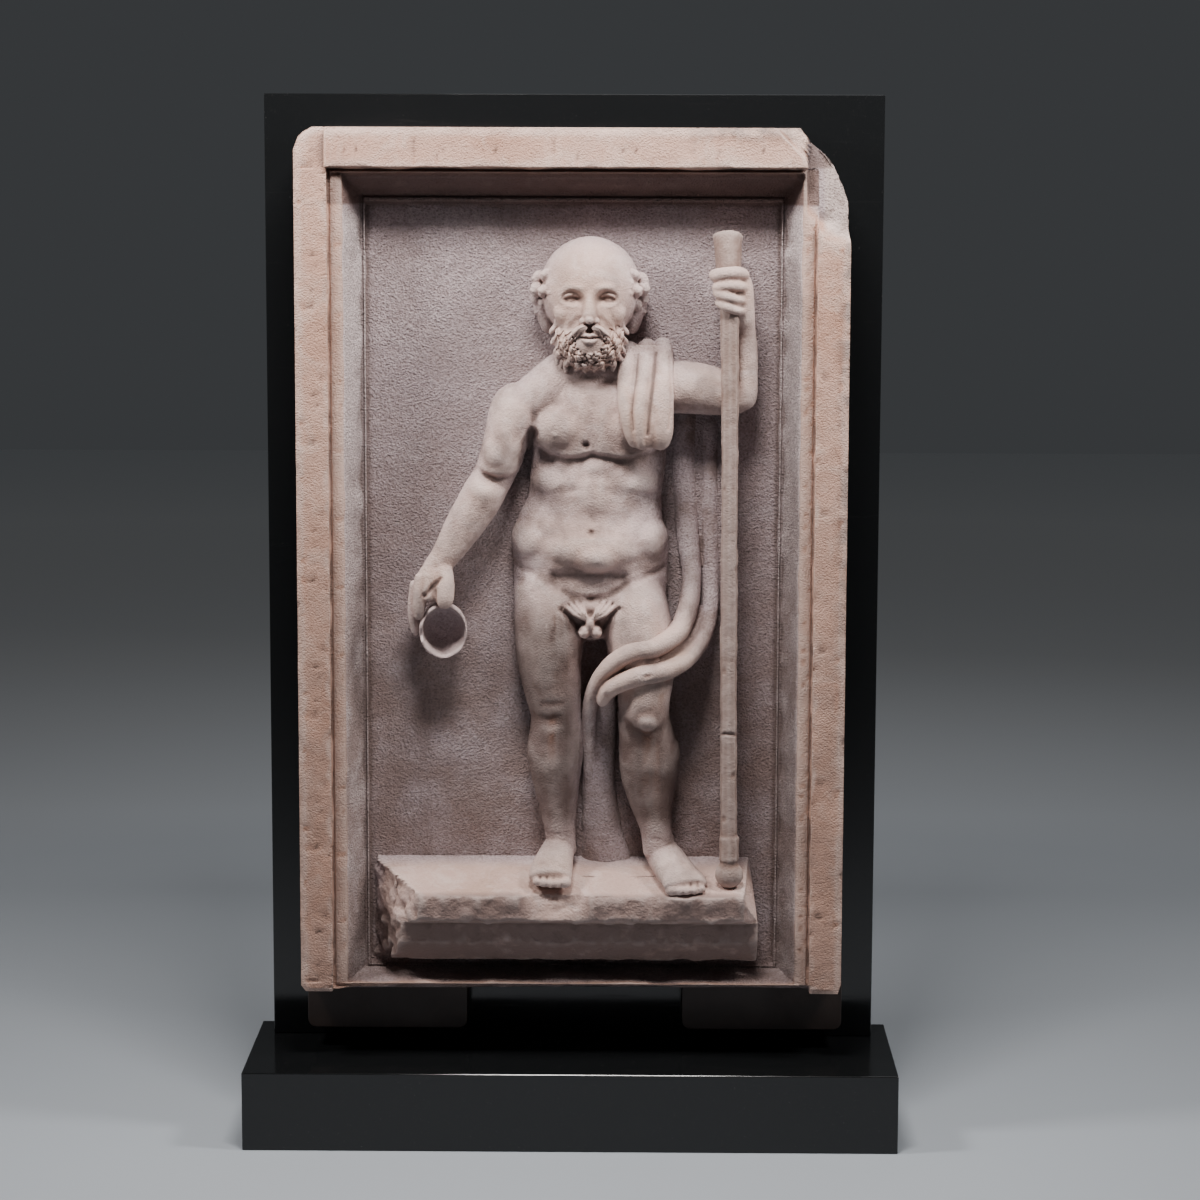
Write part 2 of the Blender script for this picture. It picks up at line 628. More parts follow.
# %% Arms
BOWL_ARM = [
    (-58, 398, 16, 18, 22), (-63, 388, 18, 19.5, 25), (-67, 374, 20, 18.5, 25), (-70, 361, 21, 18, 24),
    (-74, 348, 22, 17.5, 21), (-80, 335, 22, 16.5, 17), (-87.5, 322, 25, 17.5, 17), (-95, 309, 27, 17, 16),
    (-103, 296, 28, 15.5, 14), (-111, 283, 30, 13.5, 12.5), (-119, 271, 31, 11.5, 11.5), (-126, 260, 32, 11.5, 10.5),
    (-129, 248, 33, 14, 10.5), (-129, 236, 32, 13.5, 9),
]
limb(body, BOWL_ARM, rows=56, ends=(0.05, 0.06))
mound(body, (-75, 358, 27), (13, 20, 19), -14)
mound(body, (-87, 325, 27), (15, 16, 17), -30)
STAFF_ARM = [
    (48, 406, 14, 22, 22), (70, 409, 20, 21.5, 21), (88, 408, 22, 21, 20), (104, 405, 23, 19, 19),
    (118, 402, 23, 15, 16), (131, 401, 22, 10, 11),
]
limb(body, STAFF_ARM, rows=30, ends=(0, 0.16))
STAFF_FOREARM = [
    (121, 391, 22, 10, 12), (122, 404, 23, 12, 15), (123, 422, 24, 11, 14), (124, 440, 26, 10, 12),
    (123.5, 457, 29, 8.5, 10), (121.5, 468, 33, 10, 12), (121, 482, 36, 9.5, 13), (120.5, 493, 37, 8.5, 12),
    (118, 501, 38, 6.5, 9),
]
limb(body, STAFF_FOREARM, rows=44, ends=(0.08, 0.08))
body_mesh = skin(body, 1.8, 8)

# %% [markdown]
# The chest, belly, upper arm and knee each hang a little over what is below them, and the light from
# above turns those edges into the darkest lines of the body. Each one is a step along a line.

# %% Overhanging forms
co, normals = points_of(body_mesh)
for tool, *how in [
    (step, [(-48, 374), (-42, 363), (-34, 356), (-20, 353), (-8, 354), (2, 357), (12, 355), (22, 353),
     (34, 353), (48, 357), (60, 364)], 5.0, 24, 4.6),
    (dent, (3, 346), (11, 10), -2.6),
    (groove, [(-26, 303), (-12, 301), (2, 300), (14, 300.5), (26, 302)], 12, 2.0),
    (step, [(-36, 260), (-26, 260), (-14, 262), (0, 262), (14, 262), (24, 260), (34, 259)], 10, 26, 4.0),
    (groove, [(-64, 264), (-50, 260), (-37, 254), (-26, 246), (-14, 240), (0, 238)], 5, 1.4),
    (groove, [(62, 263), (46, 257), (33, 252), (22, 245), (12, 240), (0, 238)], 4.5, 2.2),
    (dent, (-32, 311), (20, 17), 2.8, 25),
    (dent, (38, 313), (21, 17), 3.2, -20),
    (dent, (-16, 327), (16, 7), 1.2, 8),
    (dent, (20, 325), (16, 7), 1.2, -10),
    (dent, (2, 314), (18, 9), -0.8),
    (groove, [(-18, 346), (-31, 336), (-42, 318)], 8, 1.0),
    (groove, [(24, 346), (38, 336), (48, 318)], 8, 1.0),
    (groove, [(1, 396), (1, 374), (0, 360)], 9, 1.6),
    (groove, [(3, 350), (3, 328), (2, 304)], 7, 1.2),
    (dent, (-57, 372), (9, 13), 2.0, -14),
    (step, [(-92, 345), (-85, 341), (-76, 338), (-66, 338), (-54, 343)], 4, 16, 6.0),
    (groove, [(-47, 372), (-51, 362), (-53, 348), (-57, 335), (-64, 322)], 7, 8.0),
    (groove, [(-5, 204), (-6, 186), (-6, 160), (-4, 130), (-6, 95), (-9, 60)], 4, 8.0),
    (groove, [(-38, 153), (-31, 152.5), (-24, 153.5)], 4.5, 1.0),
    (step, [(-43, 144), (-34, 141), (-22, 144)], 6, 16, 2.0),
    (step, [(26, 146), (36, 134), (47, 131), (57, 135), (64, 145)], 6, 20, 3.8),
    (groove, [(30, 160), (30, 148)], 6, 1.4),
    (groove, [(60, 160), (60, 148)], 6, 1.4),
    (groove, [(-31, 130), (-31, 95), (-27, 52)], 10, -0.9),
    (groove, [(48, 122), (50, 90), (54, 50)], 10, -0.9),
    (groove, [(-43, 232), (-41, 200), (-37, 175)], 12, -0.9),
    (groove, [(46, 232), (48, 205)], 9, -1.4),
    (groove, [(-104, 336), (-112, 310), (-124, 284)], 6, -1.2),
]:
    tool(co, normals, *how)
set_points(body_mesh, co)

# %% [markdown]
# ### Feet, hands and small forms
#
# The feet run forward over the slope and end in toes, the thumb and fingers close round the bowl, and
# four fingers wrap the staff. These are small, so they join the rubbed body in a second, finer skin.

# %% Feet
STANDING_FOOT = [
    (-24, 28, 4, 12, 12), (-25.5, 27, 18, 13, 15), (-29, 21, 30, 16, 13.5), (-31.5, 13, 41, 18, 10.5),
    (-32, 8.5, 49, 17.5, 8),
]
BENT_FOOT = [
    (57, 24, 4, 13, 13), (61, 23, 21, 14, 15), (69, 15, 35, 17.5, 12.5), (77, 8, 47, 19.5, 9), (80, 4, 54, 18.5, 6.5),
]
fine = reopened(body_mesh)
TOES = [(-0.84, 3.6, 1.0), (-0.42, 4.6, 0.86), (-0.04, 4.6, 0.82), (0.36, 3.4, 0.78), (0.74, 1.2, 0.72)]
for foot, inside in ((STANDING_FOOT, 1), (BENT_FOOT, -1)):
    limb(fine, foot, rows=24, facing=(0, 1, 0), ends=(0, 0.12))
    x, h, out, wide, _ = foot[-1]
    for side, reach, size in TOES:
        limb(fine, [
            (x - inside * side * wide * 0.66, h + 1.0, out - 8, 6.0 * size, 5.2 * size),
            (x - inside * side * wide * 0.78, h - 0.8, out - 1, 6.2 * size, 5.0 * size),
            (x - inside * side * wide * 0.84, h - 2.0 - reach * 0.2, out + 2.0 + reach, 5.6 * size, 4.4 * size),
        ], sides=12, rows=12, facing=(0, 1, 0), ends=(0.1, 0.3))

# %% The hand on the bowl
for finger in [
    [(-120, 266, 35, 8, 7), (-118, 254, 41, 8, 6.4), (-117, 243, 44, 7.6, 5.8), (-118, 231, 44, 6.4, 4.8)],
    [(-130, 259, 38, 7, 6), (-131, 251, 40, 6, 5.2), (-131, 244, 41, 5.4, 4.6), (-129, 237, 41, 4.4, 4)],
    [(-135, 258, 35, 7, 7), (-137, 246, 38, 6.2, 6), (-138.5, 234, 37, 5.6, 5.6), (-139, 220, 34, 4.8, 4.8)],
    [(-140, 252, 29, 6, 7), (-142.5, 238, 30, 5.4, 6), (-143.5, 224, 28, 5, 5.4), (-142, 206, 25, 4.4, 4.8)],
]:
    limb(fine, finger, sides=12, rows=16, ends=(0.1, 0.25))

mound(fine, (-126, 252, 34), (15, 17, 11))
mound(fine, (-121, 247, 39), (8, 13, 7))

# %% The hand on the staff
mound(fine, (110, 487, 43), (11.5, 16, 8.6))
for finger in [
    [(123, 499, 40, 4.6, 5), (118, 502, 49, 4.9, 5), (109, 502, 54, 5.0, 4.6), (100, 500.5, 51, 5.2, 4.8),
     (97.5, 499.5, 43, 4.4, 4.4)],
    [(124, 490, 40, 4.4, 5), (118, 491.5, 50, 4.5, 4.8), (109, 492.5, 54, 4.4, 4.3), (101.5, 491, 51, 4.3, 4.2),
     (99.5, 490, 43, 4, 4)],
    [(123, 480.5, 40, 4.2, 5), (116, 481, 50, 4.2, 4.8), (108.5, 483.5, 54, 4.1, 4.2), (102, 485.5, 51, 4.1, 4.2),
     (100, 486, 43, 3.8, 4)],
    [(122, 472, 40, 4.0, 5), (116, 472.5, 49, 4.0, 4.6), (109, 475, 53, 4.0, 4.1), (103, 477.5, 50, 3.9, 4),
     (101.5, 478.5, 43, 3.6, 4)],
]:
    limb(fine, finger, sides=12, rows=20, ends=(0.1, 0.15))

# %% Groin
mound(fine, (0, 219, 37), (4.2, 6.5, 6))
mound(fine, (-4.6, 211.5, 35), (5, 5.4, 7))
mound(fine, (5, 211.5, 35), (5, 5.4, 7))
for side in (-1, 1):
    for far, high, wide in ((22, 235, 2.2), (17, 236.5, 1.8), (12, 236.5, 1.7), (7, 235, 1.5)):
        limb(fine, [(side * 2, 221.5, 38, 1.4, 2.4), (side * far * 0.55, 226.5 + (high - 235) * 0.3, 39.5, wide, 3.4),
                    (side * far, high, 35, 0.8, 1.6)], sides=10, rows=14, ends=(0.1, 0.1))
body_mesh = cut_skin(fine, 1.12, 1, "figure_body")
print("fine body", len(body_mesh.polygons), "faces")
body_mesh = thinned(body_mesh)

# %% Cuts of the body
co, normals = points_of(body_mesh)
for tool, *how in [
    (dent, (1, 292.5), (4.5, 4), 3.2),
    (dent, (-4, 363.5), (4.8, 4.2), 4.2, -20),
    (dent, (-4.6, 358.6), (4, 2.4), -1.0),
]:
    tool(co, normals, *how)
for foot, inside in ((STANDING_FOOT, 1), (BENT_FOOT, -1)):
    x, h, out, wide, _ = foot[-1]
    for near, far in zip(TOES, TOES[1:]):
        parting = x - inside * (near[0] + far[0]) / 2 * wide * 0.84
        root = x - inside * (near[0] + far[0]) / 2 * wide * 0.66
        score(co, normals, [(root, h + 6, out - 7), (parting, h + 3.4, out), (parting, h - 4, out + 6)], 1.7, 0.9)
for far, near, deep in (((-121, 256, 47), (-134, 241, 44), 2.4), ((-125.5, 246, 46), (-125, 236, 46), 1.4),
    ((-139, 250, 38), (-141, 226, 37), 1.3)):
    score(co, normals, [far, near], 3.0, deep)
for tool, *how in [
    (groove, [(-24, 230), (-15, 222), (-8, 213)], 3, 3.0),
    (groove, [(24, 231), (16, 223), (9, 213)], 3, 3.0),
    (groove, [(0, 206), (0, 200)], 6, 4.0),
    (groove, [(-36, 42), (-27, 42.5), (-18, 41)], 1.8, 0.8),
    (groove, [(50, 40), (62, 38), (72, 40)], 2.2, 0.6),
    (groove, [(-29, 226), (-29, 216), (-31, 205)], 1.2, 0.5),
]:
    tool(co, normals, *how)
for cx, ch in ((-29, 372), (34, 372)):
    dent(co, normals, (cx, ch), (3.5, 3.5), -0.9)
for side in (-1, 1):
    for k in range(3):
        far = 18 - 5 * k
        groove(co, normals, [(side * 4, 223.4 + k), (side * far * 0.6, 227.5 + k * 1.2), (side * far, 234.5 + k)], 0.9,
            1.2)
co += normals * (uneven(co, 17, 1.1) * 0.45 + uneven(co, 6, 4.2) * 0.18 + uneven(co, 2.6, 6.6) * 0.10)[:, None]
figure_body = carved("figure_body", body_mesh, co, 40, 1.5, 0.3)

# %% [markdown]
# ## The head
#
# The head is bald, with tufts of curls at the temples and a close curly beard. The face is a plain calm one
# on the usual rules of proportion: the eyes lie halfway between crown and chin, and brow, nose and chin
# divide the face in three. The skull is rubbed first, then lids and lips are laid on.

# %% Skull and face
SKULL = ((-1, 488, 17), (40.5, 42, 38))
BEARD = ((-1, 446, 31), (28.5, 23.5, 26))
head = bmesh.new()
mound(head, *SKULL, sides=32, rows=24)
mound(head, (-1, 468, 25), (29.5, 36, 29), sides=28, rows=20)
mound(head, *BEARD, sides=28, rows=20)
mound(head, (-1, 436, 8), (24, 34, 20))
for side in (-1, 1):
    limb(head, [(side * 2 - 1, 488.5, 49, 4, 7), (side * 12 - 1, 491, 47.5, 4.4, 7),
        (side * 22 - 1, 489.5, 40, 4.4, 7)],
         sides=14, rows=14, ends=(0.2, 0.2))
    mound(head, (side * 17.5 - 1, 470, 39.5), (11.5, 11, 9), side * 20)
    limb(head, [(side * 41 - 1, 492, 13, 5, 10), (side * 41 - 1, 480, 12, 6, 12), (side * 37 - 1, 466, 10, 6, 12),
                (side * 32 - 1, 452, 8, 6, 10)], rows=20, ends=(0.15, 0.2))
limb(head, [(-1, 490, 47, 5, 7), (-1, 480, 50, 4.4, 8), (-1, 470, 54, 5.6, 8), (-1, 464.5, 55, 6.6, 7)], sides=16,
    rows=18, ends=(0.2, 0.2))
head_mesh = skin(head, 1.1, 6)
co, normals = points_of(head_mesh)
for side in (-1, 1):
    dent(co, normals, (side * 14 - 1, 482), (10.5, 7.5), 8.0, side * -5)
    dent(co, normals, (side * 7 - 1, 480), (4.5, 6), 3.0)
    groove(co, normals, [(side * 8.5 - 1, 466), (side * 13.5 - 1, 461), (side * 17 - 1, 456)], 3.5, 1.2)
set_points(head_mesh, co)

# %% Eyes, nose and mouth
head = reopened(head_mesh)
for side in (-1, 1):
    eye_x = side * 14 - 1
    mound(head, (eye_x, 481, 41.4), (7.4, 5.6, 5.8), sides=20, rows=14)
    limb(head, [(eye_x - side * 8, 479.8, 43.2, 1.2, 2.2), (eye_x - side * 3.4, 484, 47.2, 1.3, 2.4),
                (eye_x + side * 3, 484.2, 47, 1.4, 2.4), (eye_x + side * 9, 479.6, 41.4, 1.3, 2.2)],
         sides=10, rows=18, ends=(0.1, 0.1))
    limb(head, [(eye_x - side * 7.4, 479.4, 43.4, 0.9, 2), (eye_x - side * 2.6, 477.4, 46.4, 1.0, 2),
                (eye_x + side * 3, 477.3, 46.2, 1.0, 2), (eye_x + side * 8, 479, 41.8, 0.9, 2)],
         sides=10, rows=18, ends=(0.1, 0.1))
    mound(head, (side * 5 - 1, 464, 55.5), (3.2, 3.2, 4.4), sides=14, rows=10)
mound(head, (-1, 465, 59.5), (3.8, 3.8, 4.4), sides=14, rows=10)
limb(head, [(-9, 451.6, 53, 1.2, 2.4), (-4, 453, 56.6, 1.8, 2.8), (-1, 452.3, 57, 1.7, 2.8),
            (2, 453, 56.6, 1.8, 2.8), (7, 451.6, 53, 1.2, 2.4)], sides=10, rows=18, ends=(0.15, 0.15))
limb(head, [(-8, 449.6, 53.4, 1.4, 2.4), (-1, 447.6, 57, 2.5, 3.2), (6, 449.6, 53.4, 1.4, 2.4)],
     sides=10, rows=16, ends=(0.15, 0.15))

# %% [markdown]
# The beard and hair are short wavy locks that lie close on the mass below them. Each lock follows that
# mass's surface while it swings from side to side, so that the beard keeps its rounded outline.

# %% Locks of hair
locks = np.random.default_rng(11)


def surface_out(mass, x, h):
    """How far out a mound's surface stands at x, h."""
    centre, sizes = mass
    flat = ((x - centre[0]) / sizes[0]) ** 2 + ((h - centre[1]) / sizes[1]) ** 2
    return centre[2] + sizes[2] * math.sqrt(max(0.02, 1 - flat))


def lock(bm, mass, x, h, width, turn, bend, length, lift=0.3):
    """A wavy lock that starts at x, h and hangs along turn, in degrees from straight down."""
    stations = []
    for k in range(7):
        taper = width * (1 - 0.09 * k)
        stations.append((x, h, surface_out(mass, x, h) + lift, taper, taper * 1.05))
        swing = math.radians(turn + bend * math.cos(k * 0.95))
        x += math.sin(swing) * length / 6
        h -= math.cos(swing) * length / 6
    limb(bm, stations, sides=8, rows=14, ends=(0.15, 0.25))


for height, spots, length in [
    (465, (-26, 24), 15), (457, (-25, 23), 15), (449, (-24, -18, 16, 22), 15), (444, (-12, 10), 13),
    (440, (-23, -16, -8, -1, 6, 14, 21), 14), (432, (-18, -11, -4, 3, 9, 16), 11),
]:
    for i, x in enumerate(spots):
        bend = 24 if (i + int(height)) % 2 else -24
        lock(head, BEARD, x + locks.uniform(-0.6, 0.6), height + locks.uniform(-1, 1), locks.uniform(3.4, 4.0),
             (x + 1) * 1.0, bend, length, -1.1)
for side in (-1, 1):
    limb(head, [(side * 1.6 - 1, 459, 57.5, 2.0, 3), (side * 7.5 - 1, 457.6, 57, 3.0, 3.8),
                (side * 13 - 1, 452.5, 54, 2.9, 3.6), (side * 16.5 - 1, 446.5, 50, 2.1, 3)],
         sides=12, rows=18, ends=(0.15, 0.25))
    limb(head, [(side * 3 - 1, 456.6, 57, 1.5, 3), (side * 9 - 1, 454.4, 55.6, 1.7, 3.4),
        (side * 13 - 1, 448.6, 53, 1.3, 3)],
         sides=10, rows=14, ends=(0.15, 0.25))

# %% Tufts at the temples
TUFT = [
    (31, 501, 30, 4.6, 30, 70, 15), (38, 499, 24, 5.2, 10, 60, 17), (33, 494, 33, 5.2, 40, -80, 14),
    (40, 491, 25, 5.4, 0, 70, 15), (34, 487, 32, 5.0, 30, 90, 13), (41, 484, 19, 5.0, -15, 60, 14),
    (30, 489, 36, 3.8, 60, -70, 10), (40, 475, 14, 4.6, -22, 55, 15), (35, 479, 22, 4.2, 0, 60, 13),
    (36, 470, 8, 4.6, -30, 40, 12),
]
for side in (-1, 1):
    for x, h, out, width, turn, bend, length in TUFT:
        stations = []
        px, ph = side * x - 1, h + locks.uniform(-0.8, 0.8)
        for k in range(6):
            taper = width * (1 - 0.1 * k)
            stations.append((px, ph, out + 3.2 * math.sin(k * 0.9) - 0.3 * k, taper, taper))
            swing = math.radians(side * (turn + bend * math.cos(k * 1.1)))
            px += math.sin(swing) * length / 5
            ph -= math.cos(swing) * length / 5
        limb(head, stations, sides=10, rows=14, ends=(0.2, 0.25))
head_mesh = cut_skin(head, 0.68, 2, "figure_head")
co, normals = points_of(head_mesh)
groove(co, normals, [(-8, 450.8), (-1, 450.3), (6, 450.8)], 1.1, 1.4)
for k in range(19):
    angle = math.radians(-108 + k * 12)
    for near, far, shift in ((11, 19, 0), (18, 27, 6)):
        turned = angle + math.radians(shift)
        strand = []
        for reach in np.linspace(near, far, 6):
            swing = turned + 0.14 * math.sin(reach * 1.1 + k * 2.1)
            strand.append((math.sin(swing) * reach * 1.02 - 1, 448 - math.cos(swing) * reach))
        groove(co, normals, strand, 0.95, 1.5)
for side in (-1, 1):
    for k in range(4):
        strand = [(side * (2 + k * 0.9) - 1, 459.6 - k * 1.3), (side * (8 + k * 0.6) - 1, 457.6 - k * 1.4),
            (side * 13.5 - 1, 451.5 - k)]
        groove(co, normals, strand, 0.7, 0.9)
for side in (-1, 1):
    dent(co, normals, (side * 3.2 - 1, 461.2), (1.7, 1.2), 2.0)
co += normals * (uneven(co, 11, 2.1) * 0.25 + uneven(co, 3, 5.5) * 0.09)[:, None]
figure_head = carved("figure_head", head_mesh, co, 40, 1.1, 0.3)

# %% [markdown]
# ## The cloak
#
# The cloak is bunched in three bands over the shoulder, hangs nearly flat behind the arm, and comes forward
# again as two thick rolls across the bent thigh. Its tail drops between the legs and dies into the ground.

# %% The cloak
cloak = bmesh.new()
for band in [
    [(31, 438, 6, 7, 9), (30, 430, 27, 7.5, 8), (28.5, 408, 42, 7.5, 7.5), (29.5, 388, 47, 6.5, 7.5),
     (33.5, 371, 46, 5.5, 6.5), (37, 363.5, 43, 4, 5)],
    [(45, 440, 6, 8, 9), (44, 430, 28, 8, 8), (41, 408, 44, 7.5, 8), (39, 388, 49, 7, 8), (40, 371, 48, 6.5, 7),
     (43, 362, 45, 5, 5.5)],
    [(58, 440, 4, 8, 10), (58, 430, 26, 8.5, 9), (57, 408, 43, 9.5, 8.5), (56.5, 388, 47, 10, 8.5),
     (56, 372, 47, 9.5, 8), (54, 361.5, 43, 6.5, 6)],
]:
    limb(cloak, band, rows=40, ends=(0, 0.12))
limb(cloak, [(44, 436, 16, 20, 12), (43, 410, 40, 18, 9), (43, 388, 46, 17, 9), (45, 373, 45.5, 15, 8.5),
    (46, 363, 43, 13, 7)], rows=30, ends=(0, 0.1))
UPPER_ROLL = [
    (76, 392, -4, 11, 8), (75, 350, -3.5, 10.5, 8), (77, 310, -2.5, 10, 8.5), (80, 278, 2, 9, 9),
    (82.5, 252, 10, 8, 10),
    (78, 225, 25, 8.5, 10), (69, 210, 37, 8.5, 10), (52, 201, 46, 8.5, 10), (32, 196, 47, 8, 9.5),
    (16, 184, 42, 7.5, 9),
    (5, 168, 33, 6.5, 8.5), (0, 148, 22, 6, 8.5), (-1, 125, 12, 6, 8.5), (0, 100, 5, 6.5, 9), (1, 70, 1, 7, 8),
    (-1, 35, -1, 8, 8),
]
LOWER_ROLL = [
    (97, 385, -5, 8, 8), (97, 330, -5, 8, 8), (97.5, 285, -4, 8, 8), (98, 250, -1, 7.5, 9), (97, 226, 7, 7.5, 9),
    (91, 206, 22, 8, 9.5), (80, 192, 35, 8, 9.5), (62, 182, 47, 8, 9.5), (40, 178, 51, 8, 9), (24, 171, 47, 7.5, 9),
    (14, 163, 41, 6.5, 8), (9, 152, 31, 4.5, 7),
]
limb(cloak, UPPER_ROLL, rows=110, ends=(0.02, 0.04))
limb(cloak, LOWER_ROLL, rows=80, ends=(0.03, 0.05))
limb(cloak, [(92, 226, 4, 12, 10), (74, 200, 26, 13, 13), (44, 188, 38, 13, 11), (18, 172, 30, 11, 12)], rows=24)
limb(cloak, [(12, 168, 26, 8, 9), (14, 140, 12, 8, 9), (14, 112, 5, 7.5, 9), (13, 80, 1, 7.5, 9), (16, 45, -1, 9, 8),
    (20, 18, -1, 12, 8)], rows=30, ends=(0.05, 0))
limb(cloak, [(6, 160, 12, 10, 12), (7, 120, 4, 12, 11), (7, 80, 1, 14, 10), (10, 40, -1, 17, 10),
    (14, 12, -1, 22, 10)], rows=24, ends=(0.1, 0))
cloak_mesh = cut_skin(cloak, 1.05, 3, "figure_cloak")
co, normals = points_of(cloak_mesh)
for tool, *how in [
    (groove, [(38, 436), (35.6, 410), (33.6, 390), (35, 377)], 1.7, 1.2),
    (groove, [(52, 436), (49, 410), (46.6, 390), (45.5, 374)], 2.8, 1.8),
    (groove, [(63, 434), (64, 410), (64, 392), (62, 378)], 1.8, 1.2),
    (dent, (46, 179), (6, 3), 1.2, 10),
    (dent, (14, 162), (4, 4), 1.5),
]:
    tool(co, normals, *how)
co += normals * (uneven(co, 14, 5.1) * 0.35 + uneven(co, 5, 1.4) * 0.15)[:, None]
figure_cloak = carved("figure_cloak", cloak_mesh, co, 40, 1.5, 0.3)

# %% [markdown]
# ## The staff
#
# The staff is a slim rod with flattened corners. It stands on a ball, has a collar just above it, and
# flares into a plain head over the hand. A web of stone joins it to the ground for its whole length.

# %% The staff
staff = bmesh.new()
limb(staff, [(114, 8, 44, 7.4, 7.4), (112.4, 150, 44, 7, 7.4), (111.5, 385, 44, 7.2, 7.4), (110, 506, 42, 8.6, 8)],
     sides=8, rows=40, ends=(0, 0))
limb(staff, [(114, 22, 44, 8.6, 8.6), (113.8, 47, 44, 8.2, 8.4)], sides=8, rows=6, ends=(0, 0))
mound(staff, (114, 13, 44), (11.8, 11.8, 9))
limb(staff, [(109.6, 496, 30, 10, 18), (109.4, 512, 30, 10.6, 18), (109, 524, 28, 11.4, 18), (109, 531, 26, 12.8, 18)],
    rows=20, ends=(0, 0))
limb(staff, [(114, 4, 20, 4, 26), (111.5, 250, 20, 4, 24), (110, 500, 20, 5, 24)], rows=20, ends=(0, 0))
staff_mesh = cut_skin(staff, 1.2, 1, "figure_staff")
co, normals = points_of(staff_mesh)
groove(co, normals, [(104, 128), (110, 131), (116, 130), (122, 127)], 1.8, 2.2)
for x, h, size in ((108, 182, 3), (118, 265, 2.6), (107, 330, 2.4), (117, 96, 3), (109, 60, 2.6)):
    dent(co, normals, (x, h), (size, size * 1.6), 1.4)
co += normals * (uneven(co, 12, 6.3) * 0.4 + uneven(co, 4, 2.3) * 0.2)[:, None]
figure_staff = carved("figure_staff", staff_mesh, co, 24, 1.4, 0.3)

# %% [markdown]
# ## The bowl
#
# The bowl is turned mouth outwards, a little taller than wide. A profile is spun into a thick-walled cup,
# which is then tilted, and the rim is broken unevenly.

# %% The bowl
bowl = bmesh.new()
BOWL_PROFILE = [
    (0, 0), (8, 0.6), (14, 3.4), (18, 9), (20, 16), (20.6, 22), (20.4, 26), (19.6, 27.6), (18.2, 26.6),
    (17.6, 20), (15.4, 11), (10, 5), (0, 3.4),
]
wall = [bowl.verts.new((radius, 0, depth)) for radius, depth in BOWL_PROFILE]
seam = [bowl.edges.new(pair) for pair in zip(wall, wall[1:])]
bmesh.ops.spin(bowl, geom=wall + seam, cent=(0, 0, 0), axis=(0, 0, 1), dvec=(0, 0, 0), angle=math.tau, steps=64,
    use_merge=True)
bmesh.ops.remove_doubles(bowl, verts=bowl.verts, dist=0.01)
bmesh.ops.recalc_face_normals(bowl, faces=bowl.faces)
bmesh.ops.transform(bowl, verts=bowl.verts, matrix=Matrix.Translation((-122, 214, 11))
                    @ Matrix.Rotation(0.12, 4, "Y") @ Matrix.Rotation(0.10, 4, "X")
                    @ Matrix.Diagonal((0.95, 1.12, 1, 1)))
mound(bowl, (-124, 214, 4), (12, 14, 10))
bowl_mesh = cut_skin(bowl, 0.85, 1, "figure_bowl")
co, normals = points_of(bowl_mesh)
rim = np.clip((co[:, 2] - 28) / 8, 0, 1)
co[:, 2] -= rim * np.clip(uneven(co, 8, 1.9) * 4.5 + 0.8, -0.6, 4.6)
co += normals * (uneven(co, 7, 3.1) * 0.7 + uneven(co, 3, 1.3) * 0.25)[:, None]
figure_bowl = carved("figure_bowl", bowl_mesh, co, 12, 3.0, 0.3)

# %% [markdown]
# ## The stand
#
# The board and plinth are polished black with crisp edges. Real edges still have a fine rounding that
# catches the light, so each box gets a narrow bevel. The brown blocks have rounder lower corners.

# %% The stand
def boxed(name, node, fine, steps, foot=0):
    """A piece in place of a CAD box. Fine rounds all its edges, and foot the lower ones that run to the back."""
    low, high = (Vector(corner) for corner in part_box(node))
    bm = bmesh.new()
    place = Matrix.Translation((low + high) / 2) @ Matrix.Diagonal((*(high - low), 1))
    bmesh.ops.create_cube(bm, size=1, matrix=place)
    how = dict(profile=0.5, affect="EDGES", material=-1, offset_type="OFFSET")
    if foot:
        lower = [edge for edge in bm.edges if all(vert.co.z < low.z + 1e-4 for vert in edge.verts)]
        lower = [edge for edge in lower if abs(edge.verts[0].co.x - edge.verts[1].co.x) < 1e-4]
        bmesh.ops.bevel(bm, geom=lower, offset=foot, segments=6, **how)
    bmesh.ops.bevel(bm, geom=bm.edges[:], offset=fine, segments=steps, **how)
    piece = show(name, meshed(bm, name), smooth=False)
    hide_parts(node)
    return piece


board = boxed("polished_board", "back_board", 0.0006, 3)
base = boxed("polished_plinth", "plinth", 0.0009, 3)
left_carrier = boxed("carrier_left", "support_block_left", 0.0008, 2, foot=0.007)
right_carrier = boxed("carrier_right", "support_block_right", 0.0008, 2, foot=0.007)

# %% [markdown]
# ## Finishes
#
# Shared effects are node groups that read the surface's own position. The first gives cloudy mottling, and
# the second the pits left by a point chisel.

# %% Node helpers


def new_group(name, inputs, outputs):
    group = bpy.data.node_groups.new(name, "ShaderNodeTree")
    for label, kind, value in inputs:
        socket = group.interface.new_socket(name=label, in_out="INPUT", socket_type=kind)
        socket.default_value = value
    for label, kind in outputs:
        group.interface.new_socket(name=label, in_out="OUTPUT", socket_type=kind)
    enter = group.nodes.new("NodeGroupInput")
    leave = group.nodes.new("NodeGroupOutput")
    return group, enter.outputs, leave.inputs


def node(tree, kind, **settings):
    made = tree.nodes.new(kind)
    for key, value in settings.items():
        setattr(made, key, value)
    return made


def noise(tree, place, scale, detail=3.0, rough=0.55, distort=0.0):
    made = node(tree, "ShaderNodeTexNoise")
    made.inputs["Scale"].default_value = scale
    made.inputs["Detail"].default_value = detail
    made.inputs["Roughness"].default_value = rough
    made.inputs["Distortion"].default_value = distort
    tree.links.new(place, made.inputs["Vector"])
    return made.outputs["Fac"]


